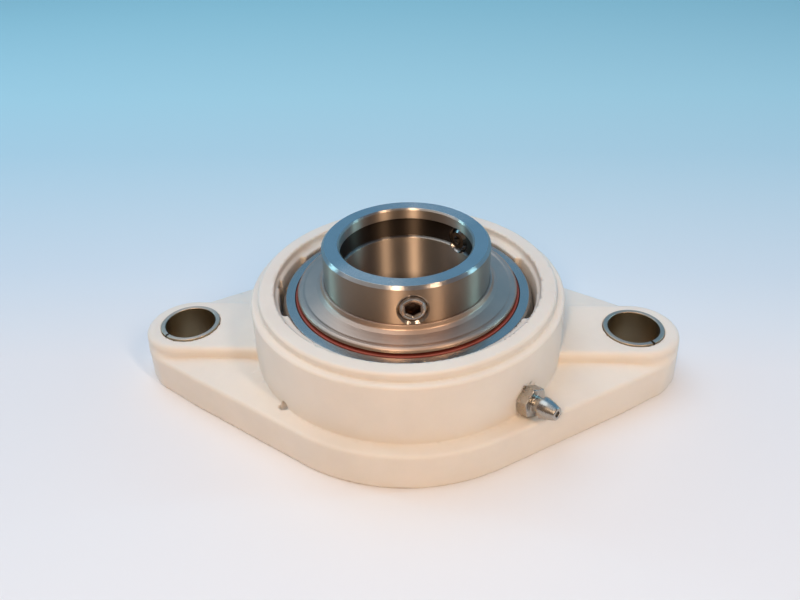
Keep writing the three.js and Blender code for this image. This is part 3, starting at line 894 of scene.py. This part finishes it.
def cage_field(x, y, z):
    """The front half of the cage: a ribbon that swells round each ball."""
    spread = np.hypot(x, y)
    step = math.radians(2 * half_step)
    turn = np.arctan2(y, x) - math.radians(ball_angles[0])
    turn = turn - step * np.round(turn / step)
    across = spread * np.sin(turn)
    out = spread * np.cos(turn) - PITCH_RADIUS
    from_ball = np.sqrt(across**2 + out**2 + z**2)
    ribbon = np.abs(z - 0.55) - 0.4
    crown = np.abs(from_ball - BALL_RADIUS - 0.7) - 0.4
    crown = both(crown, 0.15 - z)
    ribbon = both(ribbon, BALL_RADIUS + 0.3 - from_ball)
    band = np.abs(spread - PITCH_RADIUS) - 1.45
    sheet = both(union(ribbon, crown, 0.6), band, 0.2)
    gap = np.abs(turn) - step / 2
    rivet_spread = np.hypot(spread * gap, spread - PITCH_RADIUS)
    return less(sheet, rivet_spread - 0.65)


def make_cage():
    low = (-28.5, -28.5, 0)
    high = (28.5, 28.5, 7)
    for side, turn_over in (("front", Matrix.Identity(4)), ("rear", Matrix.Rotation(math.pi, 4, "X"))):
        spin = Matrix.Identity(4)
        if side == "rear":
            spin = Matrix.Rotation(math.radians(2 * ball_angles[0]), 4, "Z")
        place = lift(CENTRE) @ spin @ turn_over
        piece = shaped(f"{side}_cage_half", cage_field, low, high, 0.4, 0.0, place)
        finish_piece(piece, "cage", f"cage_{side}", cage_look)


def make_rivets():
    head = arc(0, 0.95, 1.2, 0, 90, 5)[1:-1]
    dome = [(r, 0.95 + (z - 0.95) * 0.55) for r, z in head]
    profile = [(0, -1.62), *[(r, -z) for r, z in reversed(dome)], (1.2, -0.97), (0.6, -0.95)]
    profile += [(0.6, 0.95), (1.2, 0.97), *dome, (0, 1.62)]
    for i, angle in enumerate(ball_angles, 1):
        place = Matrix.Translation(on_pitch(angle + half_step))
        rivet = turned(f"rivet_{i}", profile, 0.08, 24, False, place)
        finish_piece(rivet, "cage", f"cage_rivet_{i}", cage_look)


make_balls()
make_cage()
make_rivets()


# ---- Seals and flingers ----

SEAL_CORE = [(24.6, 7.7), (31.3, 7.7), (31.3, 8.3), (24.6, 8.3)]

SEAL_LIP = [
    (23.25, 8.5),
    (31.35, 8.5),
    (31.35, 10.0),
    (31.1, 10.2),
    (30.4, 10.0),
    (30.2, 9.1),
    (23.9, 9.1),
    (23.25, 9.8),
]

FLINGER = [
    (23.15, 12.0),
    (24.4, 11.7),
    (29.6, 11.2),
    (29.8, 10.75),
    (30.75, 10.75),
    (30.65, 11.6, 0.4),
    (30.0, 12.0, 0.6),
    (29.2, 12.0, 0.8),
    (28.7, 11.85, 0.8),
    (28.1, 11.93, 0.8),
    (25.3, 12.45, 0.8),
    (24.2, 13.1, 0.8),
    (23.75, 14.3, 0.2),
    (23.15, 14.3),
]


def make_seals():
    parts = (
        ("seal_core", SEAL_CORE, 0.12, "outer_ring", cage_look),
        ("seal_lip", SEAL_LIP, 0.15, "outer_ring", silicone_look),
        ("flinger", FLINGER, 0.12, "inner_ring", flinger_look),
    )
    for part, profile, radius, body, look in parts:
        for side in ("front", "rear"):
            shape = profile
            if side == "rear":
                shape = [(p[0], -p[1], *p[2:]) for p in reversed(profile)]
            piece = turned(f"{side}_{part}_ring", shape, radius, 192, place=lift(CENTRE))
            finish_piece(piece, body, f"{side}_{part}", look)


make_seals()


# ---- Set screws, pin and grease nipple ----


def hex_prism(name, flats, low, high, place):
    reach = flats / math.sqrt(3)
    turns = [math.radians(60 * i) for i in range(6)]
    corners = [(reach * math.cos(turn), reach * math.sin(turn)) for turn in turns]
    points = [(x, y, z) for z in (low, high) for x, y in corners]
    faces = [tuple(reversed(range(6))), tuple(range(6, 12))]
    faces += [(i, (i + 1) % 6, (i + 1) % 6 + 6, i + 6) for i in range(6)]
    return make_piece(name, points, faces, None, place)


def make_set_screw(side, angle):
    tip, top = BORE_RADIUS + 0.2, INNER_RADIUS - 0.2
    thread = thread_profile(SCREW_RADIUS - 0.08, 0.35, 1.0, tip + 0.9, top - 0.45)[1:-1]
    profile = [(0, tip + 0.9), (1.4, tip), (2.5, tip), *thread, (SCREW_RADIUS - 0.75, top), (0, top)]
    place = along_radius(angle, CENTRE + SCREW_OFFSET)
    screw = turned(f"{side}_socket_screw", profile, 0.04, 64, False, place)
    cut(screw, [hex_prism("socket", SCREW_FLATS, top - 2.4, top + 1, place)])
    screw.data.shade_smooth()
    screw.data.set_sharp_from_angle(angle=math.radians(35))
    finish_piece(screw, f"{side}_set_screw", f"{side}_set_screw", screw_look)


for screw_side, screw_angle in SCREW_ANGLES.items():
    make_set_screw(screw_side, screw_angle)


def make_pin():
    profile = [(0, PIN_START), (PIN_RADIUS, PIN_START), (PIN_RADIUS, PIN_END), (0, PIN_END)]
    pin = turned("locating_pin", profile, 0.3, 48, False, along_radius(180, CENTRE))
    finish_piece(pin, "anti_rotation_pin", "anti_rotation_pin", cage_look)


def nipple_field(x, y, z):
    """Hexagon, neck and conical head round the Z axis, bored through."""
    spread = np.hypot(x, y)
    sixth = math.radians(60)
    turn = np.arctan2(y, x) - math.radians(NIPPLE_HEX_TURN)
    sector = turn - sixth * np.round(turn / sixth)
    hexagon = spread * np.cos(sector) - NIPPLE_FLATS / 2
    prism = both(both(hexagon, -z, 0.15), z - NIPPLE_HEX, 0.15)
    for corner_cut in (z - NIPPLE_HEX, -z):
        round_off = (spread - NIPPLE_FLATS / 2 - 0.2) * 0.5 + corner_cut * math.sqrt(0.75)
        prism = both(prism, round_off, 0.1)
    ridges = 0.18 * np.abs(2 * ((z / 0.75) % 1) - 1)
    thread = both(both(spread - 2.75 + ridges, z - 1), -5.5 - z, 0.1)
    neck = both(spread - 2.05, np.abs(z - 4.2) - 2)
    flare = both(spread - 2.85, 5.3 - (spread - 2.85) - z, 0.15)
    cone = (spread - 2.85) * 0.95 + (z - 6.5) * 0.31
    head = both(both(flare, cone, 0.4), z - NIPPLE_TIP, 0.3)
    solid = union(union(prism, thread), union(neck, head, 0.35), 0.25)
    bore = union(both(spread - 1.5, z - CHECK_BALL_SEAT - 0.6), spread - 0.8)
    return less(solid, bore, 0.12)


def make_nipple():
    place = port_frame()
    body = shaped("nipple_body", nipple_field, (-4.7, -4.7, -5.5), (4.7, 4.7, NIPPLE_TIP), 0.14, 0.0, place)
    finish_piece(body, "housing", "grease_nipple", nipple_look)
    profile = arc(0, CHECK_BALL_SEAT, CHECK_BALL_RADIUS, -90, 90, 16)
    profile[0] = (0, CHECK_BALL_SEAT - CHECK_BALL_RADIUS)
    profile[-1] = (0, CHECK_BALL_SEAT + CHECK_BALL_RADIUS)
    ball = turned("valve_ball", profile, 0.0, 32, False, place)
    finish_piece(ball, "nipple_check_ball", "nipple_check_ball", ball_look)


def make_spring():
    """A coil of wire behind the check ball, short enough to leave room for the ball's travel."""
    bottom, top, turns = 0.8, CHECK_BALL_SEAT - CHECK_BALL_RADIUS - 0.7, 5
    steps, sides, radius, wire = 160, 10, 0.95, 0.17
    points, faces = [], []
    for i in range(steps + 1):
        share = i / steps
        angle = 2 * math.pi * turns * share
        centre = Vector((radius * math.cos(angle), radius * math.sin(angle), bottom + (top - bottom) * share))
        out = Vector((math.cos(angle), math.sin(angle), 0))
        for k in range(sides):
            turn = 2 * math.pi * k / sides
            points.append(centre + out * (wire * math.cos(turn)) + Vector((0, 0, wire * math.sin(turn))))
    for i in range(steps):
        for k in range(sides):
            j = (k + 1) % sides
            faces.append((i * sides + k, i * sides + j, (i + 1) * sides + j, (i + 1) * sides + k))
    faces.append(tuple(reversed(range(sides))))
    faces.append(tuple(steps * sides + k for k in range(sides)))
    faces = [face[::-1] for face in faces]
    spring = make_piece("valve_spring", points, faces, None, port_frame())
    finish_piece(spring, "housing", "nipple_spring", cage_look)


make_pin()
make_nipple()
make_spring()


# ---- Floor, light and camera ----


def make_floor():
    size = 4.0
    mesh = bpy.data.meshes.new("floor")
    corners = [(-size, -size, 0), (size, -size, 0), (size, size, 0), (-size, size, 0)]
    mesh.from_pydata(corners, [], [(0, 1, 2, 3)])
    floor = bpy.data.objects.new("floor", mesh)
    floor.location.z = HOUSING_LOW.z * MM - 0.0002
    bpy.context.scene.collection.objects.link(floor)
    material, tree, shader = new_material("pale_floor", (0.80, 0.80, 0.86), 0.55, 0.0)
    place = object_place(tree)
    parts = tree.nodes.new("ShaderNodeSeparateXYZ")
    tree.links.new(place, parts.inputs["Vector"])
    reach = tree.nodes.new("ShaderNodeMapRange")
    reach.inputs["From Min"].default_value = 0.0
    reach.inputs["From Max"].default_value = 0.75
    tree.links.new(parts.outputs["Y"], reach.inputs["Value"])
    stops = [
        (0.0, (0.84, 0.82, 0.83)),
        (0.07, (0.70, 0.77, 0.83)),
        (0.21, (0.54, 0.75, 0.83)),
        (0.31, (0.51, 0.79, 0.86)),
        (0.56, (0.42, 0.76, 0.83)),
        (1.0, (0.28, 0.66, 0.76)),
    ]
    tree.links.new(ramp(tree, reach.outputs["Result"], stops), shader.inputs["Base Color"])
    shader.inputs["Specular IOR Level"].default_value = 0.2
    mesh.materials.append(material)


def make_world():
    """A dim room: blue behind and warm in front, so that the steel has something to reflect."""
    world = bpy.data.worlds.new("room")
    bpy.context.scene.world = world
    world.use_nodes = True
    tree = world.node_tree
    background = tree.nodes["Background"]
    direction = tree.nodes.new("ShaderNodeTexCoord").outputs["Generated"]
    parts = tree.nodes.new("ShaderNodeSeparateXYZ")
    tree.links.new(direction, parts.inputs["Vector"])
    depth = tree.nodes.new("ShaderNodeMapRange")
    depth.inputs["From Min"].default_value = -0.5
    depth.inputs["From Max"].default_value = 0.5
    tree.links.new(parts.outputs["Y"], depth.inputs["Value"])
    stops = [
        (0.0, (0.20, 0.14, 0.10)),
        (0.45, (0.20, 0.22, 0.27)),
        (1.0, (0.19, 0.44, 0.73)),
    ]
    tree.links.new(ramp(tree, depth.outputs["Result"], stops), background.inputs["Color"])
    background.inputs["Strength"].default_value = 1.0


def area_light(name, place, target, size, power, color, spread=180):
    light = bpy.data.lights.new(name, "AREA")
    light.shape = "RECTANGLE"
    light.size, light.size_y = size
    light.energy = power
    light.color = color
    light.spread = math.radians(spread)
    lamp = bpy.data.objects.new(name, light)
    lamp.location = place
    lamp.rotation_euler = (Vector(target) - Vector(place)).to_track_quat("-Z", "Y").to_euler()
    bpy.context.scene.collection.objects.link(lamp)


def at_angle(turn, rise, distance):
    """A place round the object, from degrees about the shaft and above the floor."""
    turn, rise = math.radians(turn), math.radians(rise)
    flat = distance * math.cos(rise)
    return (flat * math.cos(turn), flat * math.sin(turn), distance * math.sin(rise))


def make_lights():
    """A cool soft light overhead, two warm lamps in front, and a blue-green strip at each side."""
    middle = (0, 0, 0.02)
    warm, teal = (1.0, 0.77, 0.57), (0.35, 0.78, 1.0)
    area_light("overhead", (-0.35, 0.25, 1.05), middle, (0.9, 0.9), 4.6, (0.80, 0.91, 1.0))
    area_light("left_lamp", at_angle(-102, 44, 0.57), middle, (0.035, 0.2), 1.24, warm)
    area_light("right_lamp", at_angle(-46, 44, 0.57), middle, (0.035, 0.2), 0.77, warm)
    area_light("left_strip", at_angle(163, 22, 0.8), middle, (0.05, 0.4), 0.3, teal, 110)
    area_light("right_strip", at_angle(7, 22, 0.8), middle, (0.05, 0.4), 0.33, teal, 110)


def make_camera():
    distance, turn, tilt, roll = 0.2161, math.radians(4.31), math.radians(34.81), math.radians(-1.99)
    target = Vector((-0.00214, 0, 0.02365))
    back = Vector((math.sin(turn) * math.cos(tilt), -math.cos(turn) * math.cos(tilt), math.sin(tilt)))
    data = bpy.data.cameras.new("camera")
    data.sensor_width = 36.0
    data.lens = 33.93
    data.clip_start = 0.01
    camera = bpy.data.objects.new("camera", data)
    camera.location = target + back * distance
    lean = Matrix.Rotation(roll, 3, "Z").to_quaternion()
    camera.rotation_euler = (back.to_track_quat("Z", "Y") @ lean).to_euler()
    bpy.context.scene.collection.objects.link(camera)
    bpy.context.scene.camera = camera


make_floor()
make_world()
make_lights()
make_camera()
bpy.context.scene.view_settings.view_transform = "Standard"
